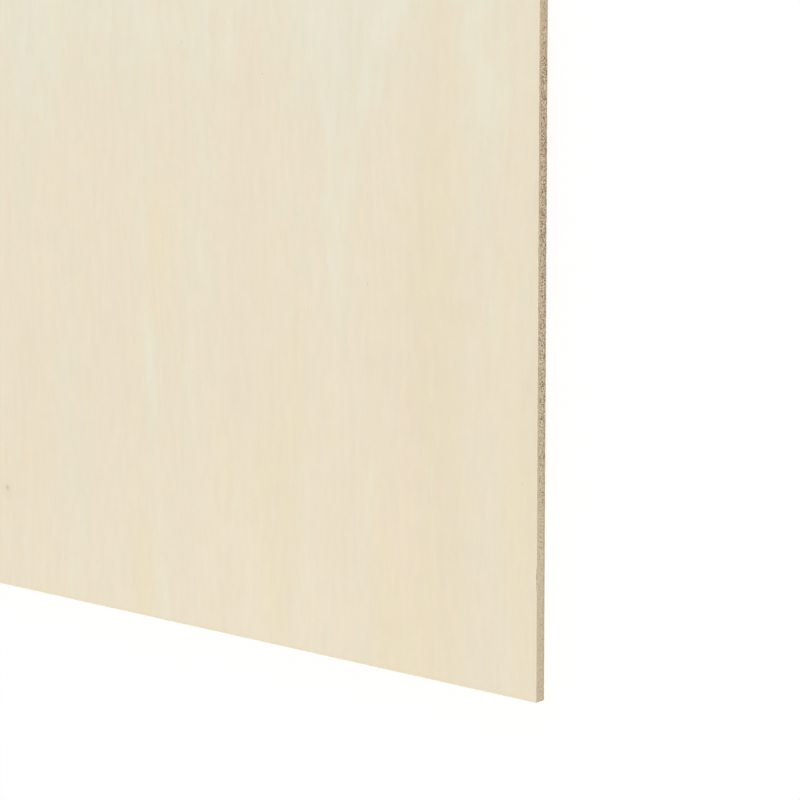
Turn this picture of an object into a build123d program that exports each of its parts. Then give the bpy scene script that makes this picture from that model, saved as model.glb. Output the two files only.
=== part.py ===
from build123d import *
import os

# Plywood sheet in pale basswood, sawn square and lying flat, show face up.
# Two thin veneers with their grain along Y are glued to a thicker core ply
# whose grain runs along X, and the saw cuts all of them flush at once.
# Millimetres. The origin is the middle of the underside, X runs across the
# grain of the show face, Y along it, and Z up through the thickness.

# Sides of the sheet, as it is sawn after pressing
sheet_width = 305.0
sheet_length = 305.0

# Thickness of each ply, from the underside up
back_veneer_thickness = 0.60
core_ply_thickness = 1.65
face_veneer_thickness = 0.75

# Width of the bevel that sanding leaves on the sheet's outer arrises
arris_ease = 0.10

# Heights of the two glue lines above the underside
lower_glue_line = back_veneer_thickness
upper_glue_line = lower_glue_line + core_ply_thickness

# Back veneer: its underside is what the sheet lies on
with BuildPart() as back_veneer:
    with BuildSketch(Plane.XY):
        Rectangle(sheet_width, sheet_length)
    extrude(amount=back_veneer_thickness)
    underside = back_veneer.faces().sort_by(Axis.Z)[0]
    chamfer(underside.edges(), length=arris_ease)

# Core ply: cross-grained, with no free face, so both its sides stay square
with BuildPart() as core_ply:
    with BuildSketch(Plane.XY.offset(lower_glue_line)):
        Rectangle(sheet_width, sheet_length)
    extrude(amount=core_ply_thickness)

# Face veneer: the better of the two veneers, sanded on its upper side
with BuildPart() as face_veneer:
    with BuildSketch(Plane.XY.offset(upper_glue_line)):
        Rectangle(sheet_width, sheet_length)
    extrude(amount=face_veneer_thickness)
    show_face = face_veneer.faces().sort_by(Axis.Z)[-1]
    chamfer(show_face.edges(), length=arris_ease)

back_veneer.part.label = "back_veneer"
core_ply.part.label = "core_ply"
face_veneer.part.label = "face_veneer"

os.makedirs("parts", exist_ok=True)
export_step(back_veneer.part, "parts/back_veneer.step")
export_step(core_ply.part, "parts/core_ply.step")
export_step(face_veneer.part, "parts/face_veneer.step")
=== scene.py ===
import math

import bmesh
import bpy
from mathutils import Matrix, Vector, noise


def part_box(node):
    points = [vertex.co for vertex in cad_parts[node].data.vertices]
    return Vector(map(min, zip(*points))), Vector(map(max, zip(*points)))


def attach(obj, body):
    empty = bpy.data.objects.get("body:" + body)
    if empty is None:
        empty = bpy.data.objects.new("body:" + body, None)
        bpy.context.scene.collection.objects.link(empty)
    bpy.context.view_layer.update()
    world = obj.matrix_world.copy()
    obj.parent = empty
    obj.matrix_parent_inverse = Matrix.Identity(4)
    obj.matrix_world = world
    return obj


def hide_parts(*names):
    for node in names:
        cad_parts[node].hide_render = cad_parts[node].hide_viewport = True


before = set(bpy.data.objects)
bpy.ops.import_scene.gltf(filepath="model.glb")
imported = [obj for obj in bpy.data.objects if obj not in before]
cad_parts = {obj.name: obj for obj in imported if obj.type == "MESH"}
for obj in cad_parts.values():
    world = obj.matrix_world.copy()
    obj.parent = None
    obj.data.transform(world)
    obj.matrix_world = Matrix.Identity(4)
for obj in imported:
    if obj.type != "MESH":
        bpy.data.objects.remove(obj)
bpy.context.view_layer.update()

# Core ply: peeled basswood, 1.65 mm thick, glued between the veneers with its grain along X.
# The saw cuts its fibres square on the left and right sides and tears some of them out, and on
# the other two sides it runs along them and leaves a combed surface.

# Millimetres in metres, and how far apart two places may lie and still be the same.
MM = 0.001
SLACK = 0.001 * MM
half_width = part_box("core_ply")[1].x
half_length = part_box("core_ply")[1].y
# The grid of points on a sawn side gets finer by so many cuts within each inset from the side.
RING_INSETS = (5.0 * MM, 1.5 * MM, 0.5 * MM)
RING_CUTS = (58, 4, 4)
# Within these insets a point moves in full, and the wood takes on the colour of a sawn side.
TORN_RING = 0.12 * MM
SAWN_SIDE = (0.32 * MM, 0.30 * MM)
# How far an arris is rubbed round, and the turn, in radians, from which it shows as one.
ARRIS_EASE = 0.10 * MM
ARRIS_TURN = 0.7
# What the saw leaves: its bite, fuzz and torn pits, and no pits so near to an outer arris.
SAW_BITE = 0.032 * MM
SAW_SWING = 0.012 * MM
FIBRE_FUZZ = 0.03 * MM
LARGE_PITS = 0.50 * MM
SMALL_PITS = 0.60 * MM
DEEPEST_TEAR = 0.26 * MM
CLEAN_ARRIS = 0.40 * MM
GLUE_LINE_WANDER = 0.035 * MM
# How rough the cut is, from 0 to 1, and where it changes along Y on the right side.
CLEAN_CUT = 0.15
ORDINARY_CUT = 0.65
CLEAN_CUT_END = -136.0 * MM
ROUGHEST_CUT = -75.0 * MM
ROUGHEST_CUT_END = -9.0 * MM
FINER_CUT = 3.0 * MM
# Where along Y the end grain turns lighter and then darker towards the far end, and the colours of the
# bare wood.
LIGHTER_FROM = (-140.0 * MM, -112.0 * MM)
DARKER_FROM = (-84.0 * MM, -40.0 * MM)
NEAR_END_GRAIN = (0.605, 0.502, 0.350, 1)
LIGHTER_END_GRAIN = (0.665, 0.553, 0.388, 1)
FAR_END_GRAIN = (0.596, 0.470, 0.310, 1)
COMBED_DARK = (0.70, 0.585, 0.42, 1)
COMBED_LIGHT = (0.75, 0.635, 0.47, 1)
# The next colour is painted shade: the dark brown put into torn pits and open vessels, and also used
# for splinter marks.
PIT_SHADE = (0.20, 0.125, 0.06, 1)
BRIGHT_FIBRE = (0.80, 0.71, 0.53, 1)
GLUE_STAIN = (0.40, 0.29, 0.17, 1)
BARE_WOOD_SHEEN = 0.25


def select_edges(mesh, wanted):
    """Selects, in edit mode, the edges between the points a and b for which wanted(a, b) holds."""
    bpy.ops.mesh.select_mode(type="EDGE")
    bpy.ops.mesh.select_all(action="DESELECT")
    cage = bmesh.from_edit_mesh(mesh)
    for edge in cage.edges:
        edge.select_set(wanted(edge.verts[0].co, edge.verts[1].co))
    bmesh.update_edit_mesh(mesh)


def level_at(a, b, height):
    """True for an edge that lies at this height."""
    return abs(a.z - height) < SLACK and abs(b.z - height) < SLACK


def in_border(a, b, inset):
    """True for an edge that runs along a side of the sheet, no further from that side than inset."""
    run = b - a
    along_x = abs(run.y) < SLACK and abs(run.z) < SLACK
    along_y = abs(run.x) < SLACK and abs(run.z) < SLACK
    beside_x = min(abs(a.x), abs(b.x)) > half_width - inset - SLACK
    beside_y = min(abs(a.y), abs(b.y)) > half_length - inset - SLACK
    return (along_x and beside_y) or (along_y and beside_x)


def sawn_blank(name, node, rows, eased_height=None):
    """A ply as a slab whose four sawn sides carry a fine grid of points, in so many rows from
    bottom to top. The arrises at eased_height are rubbed round."""
    low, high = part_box(node)
    bpy.ops.object.select_all(action="DESELECT")
    bpy.ops.mesh.primitive_cube_add(size=1, location=(low + high) / 2, scale=high - low)
    blank = bpy.context.object
    blank.name = blank.data.name = name
    bpy.ops.object.transform_apply(location=True, rotation=False, scale=True)
    bpy.ops.object.mode_set(mode="EDIT")
    if eased_height is not None:
        select_edges(blank.data, lambda a, b: level_at(a, b, eased_height))
        bpy.ops.mesh.bevel(offset=ARRIS_EASE, segments=2, affect="EDGES")
    half_height = 0.5 * (high.z - low.z)
    select_edges(blank.data, lambda a, b: abs(a.z - b.z) > half_height)
    bpy.ops.mesh.subdivide(number_cuts=rows - 1)
    for inset, cuts in zip(RING_INSETS, RING_CUTS):
        for side in (-1, 1):
            bpy.ops.mesh.select_all(action="SELECT")
            bpy.ops.mesh.bisect(plane_co=(side * (half_width - inset), 0, 0), plane_no=(1, 0, 0))
            bpy.ops.mesh.select_all(action="SELECT")
            bpy.ops.mesh.bisect(plane_co=(0, side * (half_length - inset), 0), plane_no=(0, 1, 0))
        if inset == RING_INSETS[0]:
            select_edges(blank.data, lambda a, b: (b - a).length > half_width)
        else:
            select_edges(blank.data, lambda a, b: in_border(a, b, inset))
        bpy.ops.mesh.subdivide(number_cuts=cuts)
    bpy.ops.object.mode_set(mode="OBJECT")
    return blank


def field(point, sizes, seed):
    """Smooth noise from -1 to 1 whose blobs measure sizes, in millimetres, at a point in metres."""
    at = Vector((point.x / sizes[0], point.y / sizes[1], point.z / sizes[2])) / MM
    return noise.noise(at + Vector((seed, 2.7 * seed, 5.1 * seed)))


def ramp(value, start, end):
    """0 at start, 1 at end, and straight between them, in whichever order they come."""
    return max(0.0, min(1.0, (value - start) / (end - start)))


def cut_roughness(point):
    """How roughly the saw cut, from 0 to 1. The right side is clean at the near corner, roughest
    along its nearer half, and finer from there on."""
    wander = 0.9 * field(point, (34, 34, 20), 6)
    if point.x > 0:
        grip = ramp(point.y, CLEAN_CUT_END, ROUGHEST_CUT) ** 1.9
        eased = 1.1 - 0.97 * ramp(point.y, ROUGHEST_CUT_END, FINER_CUT)
        return ramp(CLEAN_CUT + grip * eased + 0.25 * wander, 0, 1)
    return ramp(ORDINARY_CUT + wander, 0, 1)


def torn_depth(point, grain, tearing, seed):
    """How deep, in metres, the saw bit and tore below the plane of a sawn side. tearing goes up to 1,
    for a side that cuts the grain square. The pits are long along the grain."""
    large_sizes = (5.0, 0.55, 0.5) if grain == "X" else (0.55, 5.0, 0.5)
    small_sizes = (2.5, 0.28, 0.28) if grain == "X" else (0.28, 2.5, 0.28)
    pits = max(0.0, field(point, large_sizes, seed + 2) - 0.08) * LARGE_PITS
    pits += max(0.0, field(point, small_sizes, seed + 3) - 0.03) * SMALL_PITS
    fuzz = FIBRE_FUZZ * (0.5 + 0.5 * field(point, (0.2, 0.2, 0.2), seed + 4))
    bite = SAW_BITE + SAW_SWING * field(point, (0.6, 0.6, 4.0), 9)
    return min(DEEPEST_TEAR, bite + tearing * (pits * cut_roughness(point) + fuzz))


def glue_line_shift(point, line):
    """How far a glue line wanders up or down where it comes out at a sawn side."""
    return GLUE_LINE_WANDER * field(point, (7, 7, 1000), 40 + 10 * line)


def roughen_sides(ply, grain, seed, lower_line=None, upper_line=None, splintered=0.3):
    """Moves the points of the sawn sides inwards by what the saw tore out, and notes how torn, how
    rough and how near to a glue line each point is. splintered is the tearing along the grain."""
    low, high = min(v.co.z for v in ply.data.vertices), max(v.co.z for v in ply.data.vertices)
    notes = ("torn", "rough", "glued")
    for note in notes:
        ply.data.attributes.new(note, "FLOAT", "POINT")
    torn, rough, glued = [ply.data.attributes[note] for note in notes]
    for vertex in ply.data.vertices:
        start = vertex.co.copy()
        gaps = (half_width - abs(start.x), half_length - abs(start.y))
        shares = [ramp(gap, RING_INSETS[-1], TORN_RING) for gap in gaps]
        if max(shares) <= 0.0:
            continue
        rise = (start.z - low) / (high - low)
        clean = 1.0
        if lower_line is None:
            clean = ramp(start.z - low, -0.2 * CLEAN_ARRIS, CLEAN_ARRIS)
        if upper_line is None:
            clean = ramp(high - start.z, -0.2 * CLEAN_ARRIS, CLEAN_ARRIS)
        deepest = 0.0
        for axis in (0, 1):
            if shares[axis] > 0.0:
                tearing = 1.0 if (grain == "X") == (axis == 0) else splintered
                depth = torn_depth(start, grain, tearing, seed) * shares[axis] * clean
                vertex.co[axis] -= depth if start[axis] > 0 else -depth
                deepest = max(deepest, depth)
        if lower_line is not None:
            vertex.co.z += glue_line_shift(start, lower_line) * (1 - rise) * max(shares)
        if upper_line is not None:
            vertex.co.z += glue_line_shift(start, upper_line) * rise * max(shares)
        torn.data[vertex.index].value = deepest / DEEPEST_TEAR
        rough.data[vertex.index].value = cut_roughness(start)
        at_lower = lower_line is not None and rise < 0.01
        at_upper = upper_line is not None and rise > 0.99
        glued.data[vertex.index].value = 1.0 if at_lower or at_upper else 0.0


def finish_ply(ply, node, material):
    """Smooth shading up to the arrises, the ply's own material, and its place in the frame."""
    bpy.ops.object.select_all(action="DESELECT")
    ply.select_set(True)
    bpy.context.view_layer.objects.active = ply
    bpy.ops.object.shade_smooth_by_angle(angle=ARRIS_TURN)
    ply.data.materials.clear()
    ply.data.materials.append(material)
    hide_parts(node)
    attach(ply, "root")


class Tone:
    """A value or colour on a surface, on which sums are written. Without a socket it only starts
    the first node of a tree."""

    def __init__(self, tree, socket=None):
        self.tree = tree
        self.socket = socket

    def node(self, kind, settings=None, sockets=None, output=0):
        """Adds one node, sets it, feeds its sockets with values or tones, and gives one output. Sockets
        and outputs go by name, or by number where several share a name."""
        made = self.tree.nodes.new(kind)
        for name, value in (settings or {}).items():
            setattr(made, name, value)
        for name, value in (sockets or {}).items():
            if isinstance(value, Tone):
                value.feed(made.inputs[name])
            else:
                made.inputs[name].default_value = value
        return Tone(self.tree, made.outputs[output])

    def feed(self, socket):
        """Leads this tone into a node's socket."""
        self.tree.links.new(self.socket, socket)

    def maths(self, operation, *values):
        return self.node("ShaderNodeMath", {"operation": operation}, dict(enumerate(values)))

    def __add__(self, other):
        return self.maths("ADD", self, other)

    def __sub__(self, other):
        return self.maths("SUBTRACT", self, other)

    def __rsub__(self, other):
        return self.maths("SUBTRACT", other, self)

    def __mul__(self, other):
        return self.maths("MULTIPLY", self, other)

    def __abs__(self):
        return self.maths("ABSOLUTE", self)

    __radd__ = __add__
    __rmul__ = __mul__

    def larger(self, other):
        return self.maths("MAXIMUM", self, other)

    def step(self, start, end, full=1.0):
        """0 at start, full at end, and smooth between them, in whichever order they come."""
        sockets = {"Value": self, "From Min": start, "From Max": end, "To Max": full}
        return self.node("ShaderNodeMapRange", {"interpolation_type": "SMOOTHSTEP"}, sockets)

    def stretched(self, scale, shift):
        """A place stretched by scale along each axis, then shifted."""
        sockets = {0: self, 1: scale, 2: shift}
        return self.node("ShaderNodeVectorMath", {"operation": "MULTIPLY_ADD"}, sockets)

    def blobs(self, sizes, seed, detail=1.0, roughness=0.5, output=0):
        """Noise on a place in metres, in blobs that measure sizes in millimetres, with finer ones on
        them. With two sizes it runs unchanged through the thickness."""
        flat = len(sizes) == 2
        scale = [1 / (size * MM) for size in sizes] + [0.0] * flat
        spread = self.stretched(scale, (seed, 1.7 * seed, 3.1 * seed))
        settings = {"noise_dimensions": "2D" if flat else "3D"}
        sockets = {"Vector": spread, "Scale": 1.0, "Detail": detail, "Roughness": roughness}
        return self.node("ShaderNodeTexNoise", settings, sockets, output)

    def between(self, start, end):
        """A colour that goes from start to end as this share goes from 0 to 1. The Mix node's sockets
        6 and 7 and its output 2 are those for colours."""
        return self.node("ShaderNodeMix", {"data_type": "RGBA"}, {0: self, 6: start, 7: end}, 2)

    def mixed(self, other, share):
        """This colour turning into another as share goes from 0 to 1."""
        return share.between(self, other)

    def scaled(self, factor):
        """This colour made lighter or darker."""
        return self.node("ShaderNodeVectorMath", {"operation": "SCALE"}, {0: self, "Scale": factor})

    def axis(self, name):
        """One part of a place or colour, by its letter."""
        return self.node("ShaderNodeSeparateXYZ", {}, {0: self}, name)

    def attribute(self, name):
        """What was noted at the points of the piece under this name."""
        return self.node("ShaderNodeAttribute", {"attribute_name": name}, {}, "Fac")


def wood_start(name):
    """A new material, its shader, and the place on the object as a tone."""
    material = bpy.data.materials.new(name)
    material.use_nodes = True
    place = Tone(material.node_tree).node("ShaderNodeTexCoord", output="Object")
    return material, material.node_tree.nodes["Principled BSDF"], place


def wood_finish(shader, colour, roughness, height, relief):
    """Feeds the finished colour, roughness and surface relief to the wood's shader."""
    bump = colour.node("ShaderNodeBump", {}, {"Height": height, "Strength": 1.0, "Distance": relief})
    colour.feed(shader.inputs["Base Color"])
    roughness.feed(shader.inputs["Roughness"])
    bump.feed(shader.inputs["Normal"])
    shader.inputs["Specular IOR Level"].default_value = BARE_WOOD_SHEEN


def toward_side(place, axis, half_size, insets):
    """0 up to the first inset from the two sides that face along an axis, 1 beyond the second."""
    return abs(place.axis(axis)).step(half_size - insets[0], half_size - insets[1])


def core_wood():
    """Combed wood along the grain, and on the left and right sides end grain with open vessels and
    bright fibres, cleanest at the near end and more open towards the back veneer. Torn pits and
    open vessels are darkened with painted shade."""
    material, shader, place = wood_start("core_ply_wood")
    low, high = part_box("core_ply")
    end = toward_side(place, "X", half_width, SAWN_SIDE)
    lower = place.axis("Z").step(high.z, low.z + 0.3 * (high.z - low.z))
    rough = place.attribute("rough")
    torn = place.attribute("torn")
    bands = place.blobs((140, 6, 2.0), seed=3, detail=2.0)
    fibres = place.blobs((6, 0.16, 0.16), seed=5, detail=2.0)
    vessels = place.blobs((2.0, 0.36, 0.32), seed=8)
    specks = place.blobs((1.2, 0.30, 0.26), seed=12)
    combed = bands.step(0.35, 0.65).between(COMBED_DARK, COMBED_LIGHT)
    # The end grain turns lighter a short way from the near end, then darker towards the far end.
    end_grain = place.axis("Y").step(*LIGHTER_FROM).between(NEAR_END_GRAIN, LIGHTER_END_GRAIN)
    end_grain = end_grain.mixed(FAR_END_GRAIN, place.axis("Y").step(*DARKER_FROM))
    colour = combed.mixed(end_grain, end * 0.95)
    # Painted shade, darker the deeper the saw tore the pit.
    colour = colour.mixed(PIT_SHADE, torn.step(0.22, 0.95) * 0.68)
    colour = colour.mixed(BRIGHT_FIBRE, specks.step(0.51, 0.59) * end * (0.40 + 0.75 * rough))
    # Painted shade in the open vessels, more of it towards the back veneer and where the cut is rough.
    open_vessels = vessels.step(0.585, 0.625) * end
    colour = colour.mixed(PIT_SHADE, open_vessels * (0.36 + rough * (0.50 + 0.44 * lower)))
    colour = colour.mixed(GLUE_STAIN, place.attribute("glued").step(0.55, 1.0) * 0.4)
    colour = colour.scaled(0.94 + 0.12 * fibres)
    height = fibres - 0.9 * vessels + 0.6 * specks
    wood_finish(shader, colour, 0.72 + 0.12 * fibres, height, relief=0.02 * MM)
    return material


core = sawn_blank("core_ply_sawn", "core_ply", rows=9)
roughen_sides(core, "X", seed=3, lower_line=0, upper_line=1)
finish_ply(core, "core_ply", core_wood())

# Back veneer: basswood peeled 0.60 mm thin, glued under the core with its grain along Y.
# It is plainer than the show face. Its underside is sanded, and its outer arrises are
# rubbed down.

# The outer face turns a little darker and yellower between these two insets from its sides.
RIM_INSETS = (1.3 * MM, 0.2 * MM)
RIM_TONE = (0.70, 0.58, 0.35, 1)
# Painted shade for the torn places on the sawn sides.
TEAR_SHADE = (0.30, 0.21, 0.12, 1)
CHIPPED_WOOD = (0.62, 0.52, 0.36, 1)
# Painted shade for the deepest part of a chip.
CHIP_SHADE = (0.46, 0.34, 0.22, 1)
KNOT_BROWN = (0.60, 0.47, 0.32, 1)
KNOT_HEART = (0.40, 0.29, 0.18, 1)
back_tones = {
    "cream": (0.790, 0.695, 0.525, 1),
    "pale": (0.765, 0.715, 0.565, 1),
    "honey": (0.810, 0.685, 0.475, 1),
    "rosy": (0.810, 0.675, 0.530, 1),
    "sawn along": (0.605, 0.485, 0.332, 1),
    "sawn across": (0.59, 0.47, 0.32, 1),
}


def ovals(place, shapes):
    """The sum of soft ovals on a veneer, each a strength, a centre and its half sizes in mm."""
    total = 0.0
    for strength, centre, half_size in shapes:
        scale = (1 / (half_size[0] * MM), 1 / (half_size[1] * MM), 0)
        across = place.stretched(scale, (-centre[0] / half_size[0], -centre[1] / half_size[1], 0))
        distance = across.node("ShaderNodeVectorMath", {"operation": "LENGTH"}, {0: across}, "Value")
        total = distance.step(1.0, 0.0, full=strength) + total
    return total


def ring_lines(grain, seed):
    """Faint pale arches and ovals where the knife ran out through the growth rings."""
    wander = 0.16 * grain.blobs((0.8, 3.5), seed + 2)
    level = 7.0 * grain.blobs((60, 260), seed + 1) + wander
    part = level.maths("FRACT", level)
    patchy = grain.blobs((25, 60), seed + 3).step(0.40, 0.60)
    return (part.step(0.72, 0.96) - part.step(0.96, 1.0)) * patchy


def drifting(place, seed):
    """The place moved sideways by a slow and a fine drift, so that the grain isn't dead straight."""
    drift = (place.blobs((45, 90), seed) - 0.5) * (9 * MM)
    drift = drift + (place.blobs((1.6, 9), seed + 1, detail=2.0) - 0.5) * (1.4 * MM)
    shift = place.node("ShaderNodeCombineXYZ", {}, {0: drift})
    return place.node("ShaderNodeVectorMath", {"operation": "ADD"}, {0: place, 1: shift})


def sanded_colour(grain, fibres, flecks, tones, zones, seed):
    """Cream wood that turns pale, honey and rosy in long stripes and small clouds, and is a little
    lighter and darker from band to band and from fibre to fibre."""
    stripes = grain.blobs((15, 150), seed + 2, detail=3.0, roughness=0.62, output="Color")
    clouds = grain.blobs((5, 11), seed + 3, detail=3.0, roughness=0.75, output="Color")
    colour = tones["cream"]
    for tone, axis in (("pale", "X"), ("honey", "Y"), ("rosy", "Z")):
        share = 0.56 * (stripes.axis(axis) - 0.29) + 1.05 * (clouds.axis(axis) - 0.5)
        colour = (share + zones[tone]).between(colour, tones[tone])
    bands = grain.blobs((14, 75), seed + 7, detail=2.0)
    narrow = grain.blobs((1.7, 26), seed + 4)
    mottle = grain.blobs((2.2, 7), seed + 11)
    light = 1.0 + 0.026 * (bands - 0.5) + 0.026 * (narrow - 0.5) + 0.044 * (mottle - 0.5)
    light = light + 0.020 * (fibres - 0.5) - 0.035 * flecks + 0.0088 * zones["light"]
    return colour.scaled(light)


def sawn_colour(place, end, fibres, tones, splintered, seed):
    """Darker wood on the sawn sides, with bright stray fibres, dark splinter marks, painted shade in
    the torn places, and glue along one arris."""
    torn = place.attribute("torn")
    rough = place.attribute("rough")
    splinters = place.blobs((0.25, 0.36, 0.25), seed + 8, detail=0.0).step(0.51, 0.62)
    stray_fibres = place.blobs((0.2, 0.7, 0.25), seed + 9, detail=0.0).step(0.62, 0.74)
    colour = end.between(tones["sawn along"], tones["sawn across"])
    colour = colour.scaled(0.97 + 0.12 * (fibres - 0.5) - 0.05 * rough)
    colour = colour.mixed(BRIGHT_FIBRE, stray_fibres * (0.40 + 0.5 * rough * splintered))
    # Splinter marks take the painted pit shade colour.
    colour = colour.mixed(PIT_SHADE, splinters * (0.12 + 0.88 * rough * splintered))
    # Painted shade, darker the deeper the wood was torn.
    colour = colour.mixed(TEAR_SHADE, torn.step(0.25, 1.0) * 0.6)
    return colour.mixed(GLUE_STAIN, place.attribute("glued").step(0.55, 1.0) * 0.4)


def veneer_wood(name, seed, outer, tones, figure, splintered):
    """The wood of a veneer whose outer face lies at the height outer. tones are its named colours,
    figure says where this one veneer is paler or warmer and what marks it has, and splintered how
    much the saw tore its sides, from 0 to 1."""
    material, shader, place = wood_start(name)
    inside = abs(place.axis("Z") - outer).step(0.0, 0.45 * ARRIS_EASE)
    side = toward_side(place, "X", half_width, SAWN_SIDE) * inside
    end = toward_side(place, "Y", half_length, SAWN_SIDE) * inside
    rim = toward_side(place, "X", half_width, RIM_INSETS)
    rim = rim.larger(toward_side(place, "Y", half_length, RIM_INSETS))
    grain = drifting(place, seed)
    fibres = place.blobs((0.16, 9, 0.16), seed + 5, detail=2.0)
    flecks = place.blobs((0.20, 1.2, 0.20), seed + 6, detail=0.0).step(0.70, 0.84)
    zones, marks = figure(place, grain, seed + 10)
    colour = sanded_colour(grain, fibres, flecks, tones, zones, seed)
    for mark, share in marks:
        colour = colour.mixed(mark, share)
    # The outer face is a little darker and yellower near its sides.
    colour = colour.mixed(RIM_TONE, rim * 0.11)
    colour = colour.mixed(sawn_colour(place, end, fibres, tones, splintered, seed), side.larger(end))
    torn = place.attribute("torn")
    colour = colour.mixed(CHIPPED_WOOD, (1.0 - inside) * torn.step(0.12, 0.55) * 0.85)
    # Painted shade where the arris is chipped or torn deepest.
    colour = colour.mixed(CHIP_SHADE, (1.0 - inside) * torn.step(0.65, 0.95) * 0.35)
    roughness = 0.60 + 0.15 * fibres + 0.1 * side
    wood_finish(shader, colour, roughness, fibres - 0.5 * flecks, relief=0.010 * MM)
    return material


def underside_figure(place, grain, seed):
    """Pale ring lines all over, and two small sound knots with darker hearts."""
    rings = ring_lines(grain, seed)
    zones = {"pale": 0.8 * rings, "honey": 0.15, "rosy": 0.10, "light": 1.5 * rings}
    knots = ovals(place, ((0.5, (61, -38), (2.6, 4.6)), (0.4, (-84, 95), (1.9, 3.4))))
    hearts = ovals(place, ((0.6, (61, -38), (1.0, 1.3)), (0.5, (-84, 95), (0.7, 0.9))))
    return zones, ((KNOT_BROWN, knots), (KNOT_HEART, hearts))


back_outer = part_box("back_veneer")[0].z
back = sawn_blank("back_veneer_sawn", "back_veneer", rows=4, eased_height=back_outer)
roughen_sides(back, "Y", seed=17, upper_line=0, splintered=0.7)
back_wood = veneer_wood(
    "back_veneer_wood", seed=20, outer=back_outer, tones=back_tones,
    figure=underside_figure, splintered=0.85)
finish_ply(back, "back_veneer", back_wood)

# Face veneer: the better veneer, clear and pale, peeled 0.75 mm thick and glued on the core
# with its grain along Y. Its show face is finely sanded, and a chip has come off its right
# arris.

# Where along Y the chip is, its size, and how many cuts make the show face's grid finer.
CHIP_AT = -123.2 * MM
CHIP_HALF_LENGTH = 3.0 * MM
CHIP_REACH = 0.68 * MM
CHIP_DEPTH = 0.36 * MM
FINER_ACROSS = 4
PIN_KNOT = (0.58, 0.44, 0.30, 1)
PIN_DOT = (0.26, 0.20, 0.14, 1)
face_tones = {
    "cream": (0.811, 0.722, 0.557, 1),
    "pale": (0.775, 0.750, 0.610, 1),
    "honey": (0.815, 0.716, 0.518, 1),
    "rosy": (0.820, 0.706, 0.566, 1),
    "sawn along": (0.680, 0.565, 0.398, 1),
    "sawn across": (0.66, 0.54, 0.375, 1),
}
face_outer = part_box("face_veneer")[1].z


def chip_right_arris(ply):
    """Breaks a small chip out of the arris between the show face and the right side."""
    torn = ply.data.attributes["torn"]
    for vertex in ply.data.vertices:
        along = abs(vertex.co.y - CHIP_AT) / CHIP_HALF_LENGTH
        away = math.hypot(half_width - vertex.co.x, face_outer - vertex.co.z) / CHIP_REACH
        if along < 1.0 and away < 1.0:
            ragged = 0.7 + 0.8 * field(vertex.co, (0.4, 0.5, 0.4), 77)
            depth = CHIP_DEPTH * (1 - along ** 2) * (1 - away ** 2) * ragged
            vertex.co.x -= 0.8 * depth
            vertex.co.z -= 0.6 * depth
            torn.data[vertex.index].value = max(torn.data[vertex.index].value, depth / CHIP_DEPTH)


def patch(point, start, end, half_width_mm):
    """1 in the middle of a soft leaning oval that reaches from start to end, falling to 0 at its
    rim. All is in millimetres."""
    along = 2 * (point.y - start[1]) / (end[1] - start[1]) - 1
    if abs(along) >= 1:
        return 0.0
    middle = start[0] + (end[0] - start[0]) * (along + 1) / 2
    inside = max(0.0, 1 - along ** 2 - ((point.x - middle) / half_width_mm) ** 2)
    return inside * inside * (3 - 2 * inside)


def strength_at(point, patches):
    """The sum of the patches at a point, each a strength, two ends and a half width. A point that
    isn't on the show face is None, and gets 0."""
    if point is None:
        return 0.0
    return sum(strength * patch(point, *shape) for strength, *shape in patches)


def draw_figure(ply, parts):
    """Cuts the show face's grid finer across the grain, and notes at its points how strong each part
    of the figure is there. The parts lean to and fro a little, as the grain does."""
    inner_x = half_width - RING_INSETS[0] + SLACK
    inner_y = half_length - RING_INSETS[0] + SLACK

    def runs_across(a, b):
        within = max(abs(a.x), abs(b.x)) < inner_x and max(abs(a.y), abs(b.y)) < inner_y
        return level_at(a, b, face_outer) and within and abs(a.y - b.y) < SLACK

    bpy.ops.object.mode_set(mode="EDIT")
    select_edges(ply.data, runs_across)
    bpy.ops.mesh.subdivide(number_cuts=FINER_ACROSS)
    bpy.ops.object.mode_set(mode="OBJECT")
    points = []
    for vertex in ply.data.vertices:
        point = vertex.co / MM
        slow_lean = 2.5 * field(vertex.co, (45, 90, 1000), seed=51)
        point.x += slow_lean + 0.5 * field(vertex.co, (5, 18, 1000), seed=52)
        points.append(point if vertex.co.z > face_outer - 2 * ARRIS_EASE else None)
    for name, patches in parts.items():
        strengths = [strength_at(point, patches) for point in points]
        ply.data.attributes.new(name, "FLOAT", "POINT").data.foreach_set("value", strengths)


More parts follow.
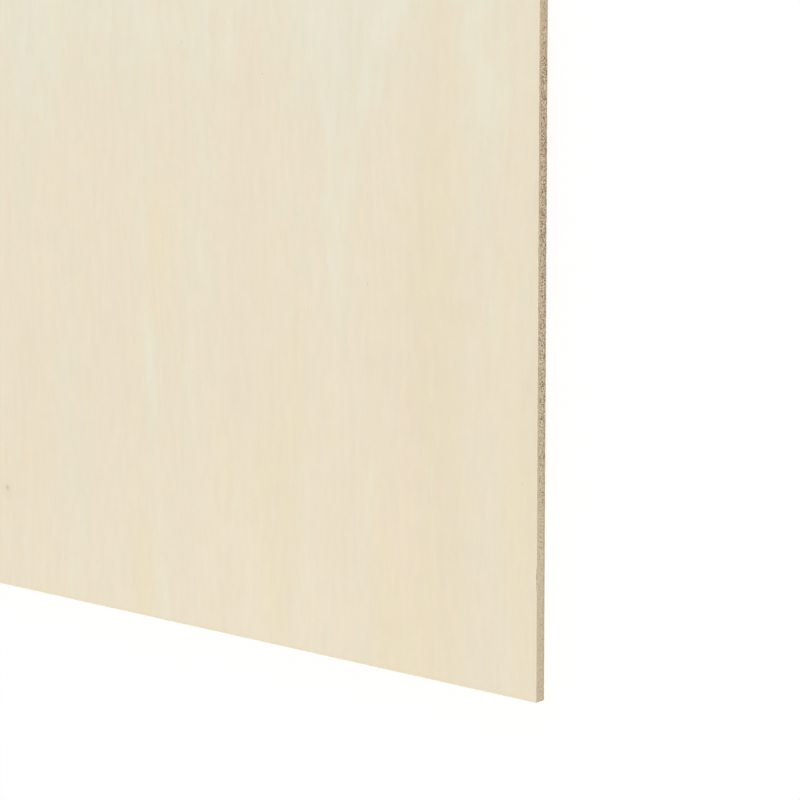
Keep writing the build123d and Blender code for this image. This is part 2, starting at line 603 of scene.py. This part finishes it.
def show_face_figure(place, grain, seed):
    """This one face's own figure, roughened by fine noise, with growth rings beyond it, thin pale
    threads and pin marks."""
    slips = place.attribute("slips") * (0.45 + 1.1 * grain.blobs((0.6, 5), seed + 4))
    plainer = (1.0 - place.attribute("calm")).step(0.0, 0.6)
    slips = slips + 0.6 * ring_lines(grain, seed) * plainer
    threads = ovals(place, (
        (0.70, (103.0, -106.5), (0.50, 7.5)), (0.50, (102.3, -116.5), (0.45, 7.0)),
        (0.40, (100.8, -130.0), (0.50, 9.0)), (0.40, (100.1, -143.0), (0.50, 10.0)),
        (0.90, (121.6, -104.5), (0.55, 11.0)), (0.50, (122.3, -124.0), (0.45, 10.0)),
        (1.00, (122.9, -143.0), (0.70, 13.0))))
    pale = place.attribute("pale") + ovals(place, (
        (0.55, (75.5, -42.5), (3.2, 5.0)), (0.50, (105, -87), (2.4, 3.8))))
    rosy = place.attribute("rosy") + ovals(place, (
        (0.80, (16, -33.7), (6.5, 1.0)), (0.60, (150.6, -122.8), (3.6, 2.8))))
    pin_knots = ovals(place, (
        (0.48, (-23.5, -125.8), (1.1, 1.1)), (0.16, (-23.3, -126.2), (2.8, 4.2)),
        (0.06, (-26.1, -132.4), (1.1, 2.1)), (0.40, (-96, 58), (1.0, 1.2)),
        (0.30, (-34, 121), (0.9, 1.1)), (0.16, (-96, 57), (2.6, 4.6))))
    pin_dots = ovals(place, (
        (0.15, (43.3, -5.7), (0.60, 0.42)), (0.45, (69.7, -12.2), (0.34, 0.28)),
        (0.34, (102.3, -59.8), (0.34, 0.30)), (0.28, (148.2, -101.5), (0.32, 0.32)),
        (0.60, (-61, 33), (0.34, 0.32)), (0.60, (12, 84), (0.32, 0.28))))
    honey = place.attribute("honey") - 0.8 * threads
    light = place.attribute("light") + 2.5 * slips + 2.0 * threads
    zones = {"pale": pale + 0.5 * slips + 0.7 * threads, "honey": honey, "rosy": rosy, "light": light}
    return zones, ((PIN_KNOT, pin_knots), (PIN_DOT, pin_dots))


face = sawn_blank("face_veneer_sawn", "face_veneer", rows=5, eased_height=face_outer)
# slips are pale streaks that taper at both ends. pale, honey and rosy are zones that turn to
# that tone, light says how much lighter the wood is, and calm is where no growth rings show.
draw_figure(face, {
    "slips": (
        (0.60, (74, 152), (85.5, 24), 3.0), (0.65, (85.0, 26), (88.6, -9), 2.8),
        (0.55, (87.6, -2), (92.6, -48), 2.1), (0.60, (136, 130), (118, 22), 3.4),
        (0.90, (121, 22), (101.0, -9), 4.4), (0.65, (104.0, -1), (98.8, -25), 2.5),
        (0.45, (100.2, -17), (95.4, -47), 1.9), (0.38, (92.6, -48), (94.6, -78), 1.9),
        (0.40, (26.8, 60), (27.8, -17), 1.8), (0.25, (25.8, -22), (27.6, -66), 2.4),
        (1.05, (28.6, -69), (31.2, -90), 2.5), (0.75, (30.0, -80), (33.2, -102), 1.8),
        (0.30, (32.4, -94), (34.0, -132), 1.8), (0.34, (34.2, -121), (36.0, -172), 2.3),
        (0.70, (42.6, -74), (46.8, -110), 1.7), (0.50, (52.0, 34), (50.4, -11), 1.9),
        (0.70, (59.4, 8), (56.6, -17), 1.6), (0.30, (103.4, -99), (102.6, -123), 1.3),
        (0.40, (101.8, -113), (100.2, -174), 1.5), (0.40, (112.9, -92), (112.2, -170), 1.1),
        (0.35, (121.4, -96), (122.6, -172), 1.3), (0.45, (110.4, -8), (112.4, -46), 1.3),
        (0.45, (132.6, -14), (135.6, -54), 1.7), (0.75, (137.4, -46), (143.0, -80), 2.3),
        (0.14, (133.2, -106), (137.6, -168), 1.5), (0.60, (-24.2, -132), (-23.8, -148), 2.3)),
    "pale": (
        (0.48, (50, -34), (50, 90), 150), (0.55, (-7, -38), (-7, 60), 14),
        (0.20, (5, -48), (5, 60), 42), (0.46, (96, -40), (96, 56), 20),
        (0.48, (94, -86), (93, -8), 7.5), (0.42, (138, -60), (134, 50), 9),
        (0.26, (1, -170), (1, -20), 5), (0.20, (25, -76), (26, 6), 5),
        (0.22, (47.5, -112), (46, 20), 6.5), (0.20, (31.5, -120), (29, -70), 3.2),
        (0.55, (32.5, -104), (28, -66), 2.2), (0.28, (-15, -62), (-14, 0), 9),
        (0.35, (-70, 0), (-70, 180), 26), (0.30, (-118, -160), (-118, 40), 17)),
    "honey": (
        (0.62, (114, -220), (120, -8), 19), (0.28, (108, -170), (107, -110), 4.8),
        (0.26, (122, -88), (124, 30), 6.5), (0.30, (121.5, -170), (121, -118), 2.2),
        (0.60, (27.5, -168), (26, -122), 6.3), (0.42, (33, -74), (33, -34), 4.8),
        (0.40, (-13, -146), (-12, -76), 8), (0.42, (77, -114), (81, -56), 3.8),
        (0.48, (72, -165), (72, -76), 9), (0.36, (56, -140), (57, -86), 5.2),
        (0.50, (149, -170), (148, -64), 6), (0.40, (-55, -120), (-55, 40), 19),
        (0.40, (45, 30), (45, 175), 15)),
    "rosy": (
        (0.40, (14, -110), (14, -32), 9.5), (0.40, (64, -58), (65, 10), 9.5),
        (0.34, (60, -120), (60, -36), 8), (0.34, (-13, -140), (-13, -66), 11),
        (0.34, (112, -146), (112, -46), 10), (0.40, (-85, -164), (-85, -56), 20)),
    "light": (
        (1.5, (-3, -12), (-3, 22), 7.5), (1.2, (88, -8), (88, 22), 7),
        (1.1, (108, -8), (108, 18), 11), (0.8, (94, -68), (93, -22), 6),
        (0.7, (90, -150), (90, -52), 8.5), (1.1, (88, -180), (88, -116), 12),
        (1.0, (66, -176), (66, -114), 6), (1.0, (2, -176), (2, -111), 5.2),
        (0.6, (48, -122), (48, -4), 4.4), (0.9, (45, -200), (45, -92), 62),
        (1.2, (136, -26), (136, 22), 7), (0.8, (50, -20), (50, 60), 75),
        (-1.7, (59.5, -108), (59.5, -76), 2.8), (-0.9, (59, -62), (59, -26), 2.3),
        (-1.2, (22, -112), (22, -72), 2.0), (-1.0, (6.8, -107), (6.8, -82), 2.0),
        (-1.0, (-13, -106), (-13, -69), 7.5), (-1.1, (123, -180), (124, 40), 11),
        (-0.9, (132, -230), (132, 60), 28), (-0.9, (105, -89), (105, -69), 5),
        (-1.9, (153, -170), (153, 40), 7), (-0.9, (79.5, -90), (79.5, -46), 1.8),
        (-0.9, (65, -28), (65, -3), 4.2), (-1.0, (25, -152), (25, -125), 4.4),
        (-0.8, (-13, -62), (-14, -30), 4), (1.0, (-62, -60), (-62, 100), 10),
        (-1.2, (-90, -120), (-90, 20), 12), (1.2, (30, 56), (30, 144), 8)),
    "calm": ((1.6, (65, -195), (65, 45), 125),),
})
roughen_sides(face, "Y", seed=31, lower_line=1)
chip_right_arris(face)
face_wood = veneer_wood(
    "face_veneer_wood", seed=50, outer=face_outer, tones=face_tones,
    figure=show_face_figure, splintered=0.3)
finish_ply(face, "face_veneer", face_wood)

# Floor: a plain white table top that the sheet lies on. It fills the view and keeps the
# sheet's shadow, and it is seen whiter than it throws light back on the sheet.
FLOOR_RADIUS = 4.0
FLOOR_DROP = 0.02 * MM
LIT_GREY = (0.8, 0.8, 0.8, 1)
SEEN_WHITE = (0.98, 0.98, 0.98, 1)
GLOW_SHARE = 0.35


def seeing_rays(tree):
    """1 for the rays that show a surface, straight, mirrored or through glass, and 0 for the rest."""
    kinds = ("Is Camera Ray", "Is Glossy Ray", "Is Transmission Ray")
    rays = [Tone(tree).node("ShaderNodeLightPath", output=kind) for kind in kinds]
    return rays[0] + rays[1] + rays[2]


bpy.ops.object.select_all(action="DESELECT")
bpy.ops.mesh.primitive_circle_add(
    vertices=96, radius=FLOOR_RADIUS, fill_type="NGON", location=(0, 0, -FLOOR_DROP))
floor = bpy.context.object
floor.name = "floor"
floor_paint = bpy.data.materials.new("floor_white")
floor_paint.use_nodes = True
floor_tree = floor_paint.node_tree
paint = floor_tree.nodes["Principled BSDF"]
paint.inputs["Roughness"].default_value = 1.0
paint.inputs["Specular IOR Level"].default_value = 0.0
seen = seeing_rays(floor_tree)
seen.between(LIT_GREY, SEEN_WHITE).feed(paint.inputs["Base Color"])
painted = Tone(floor_tree, paint.outputs[0])
glow = seen.node("ShaderNodeEmission", {}, {"Color": (1, 1, 1, 1), "Strength": 1.0})
table_top = seen.node("ShaderNodeMixShader", {}, {0: seen * GLOW_SHARE, 1: painted, 2: glow})
table_top.feed(floor_tree.nodes["Material Output"].inputs["Surface"])
floor.data.materials.append(floor_paint)

# Light: one broad soft lamp above the right of the picture, and a plain surround that shows
# white and lights the sheet weakly from all round.

# The lamp's strength, how wide it looks, in radians, where it is, and the surround's light.
LAMP_STRENGTH = 2.0
LAMP_SPREAD = 0.6
LAMP_SIDE = Vector((0.42, -0.15, 0.89))
SURROUND_LIGHT = 0.45
lamp_data = bpy.data.lights.new("soft_lamp", "SUN")
lamp_data.energy = LAMP_STRENGTH
lamp_data.angle = LAMP_SPREAD
lamp = bpy.data.objects.new("soft_lamp", lamp_data)
bpy.context.scene.collection.objects.link(lamp)
lamp.rotation_euler = LAMP_SIDE.to_track_quat("Z", "Y").to_euler()
world = bpy.data.worlds.new("white_surround")
bpy.context.scene.world = world
world.use_nodes = True
background = world.node_tree.nodes["Background"]
background.inputs["Color"].default_value = (1, 1, 1, 1)
surround = SURROUND_LIGHT + (1 - SURROUND_LIGHT) * seeing_rays(world.node_tree)
surround.feed(background.inputs["Strength"])
bpy.context.scene.view_settings.view_transform = "Standard"

# Camera: it looks down past the near right corner of the sheet through a long lens, with the
# grain upright in the picture.
EYE_FROM_CORNER = Vector((401.77, 195.13, 530.21)) * MM
AIM_FROM_CORNER = Vector((-40.43, 66.10, 0.0)) * MM
PICTURE_UP = Vector((0.00448, 1, 0))
near_corner = Vector((half_width, -half_length, face_outer))
eye = near_corner + EYE_FROM_CORNER
aim = near_corner + AIM_FROM_CORNER
gaze = (aim - eye).normalized()
right = gaze.cross(PICTURE_UP).normalized()
camera_data = bpy.data.cameras.new("camera")
camera_data.lens = 135
camera_data.sensor_width = 36
camera_data.clip_start = 0.01
camera = bpy.data.objects.new("camera", camera_data)
bpy.context.scene.collection.objects.link(camera)
turn = Matrix((right, right.cross(gaze), -gaze)).transposed()
camera.matrix_world = Matrix.Translation(eye) @ turn.to_4x4()
bpy.context.scene.camera = camera
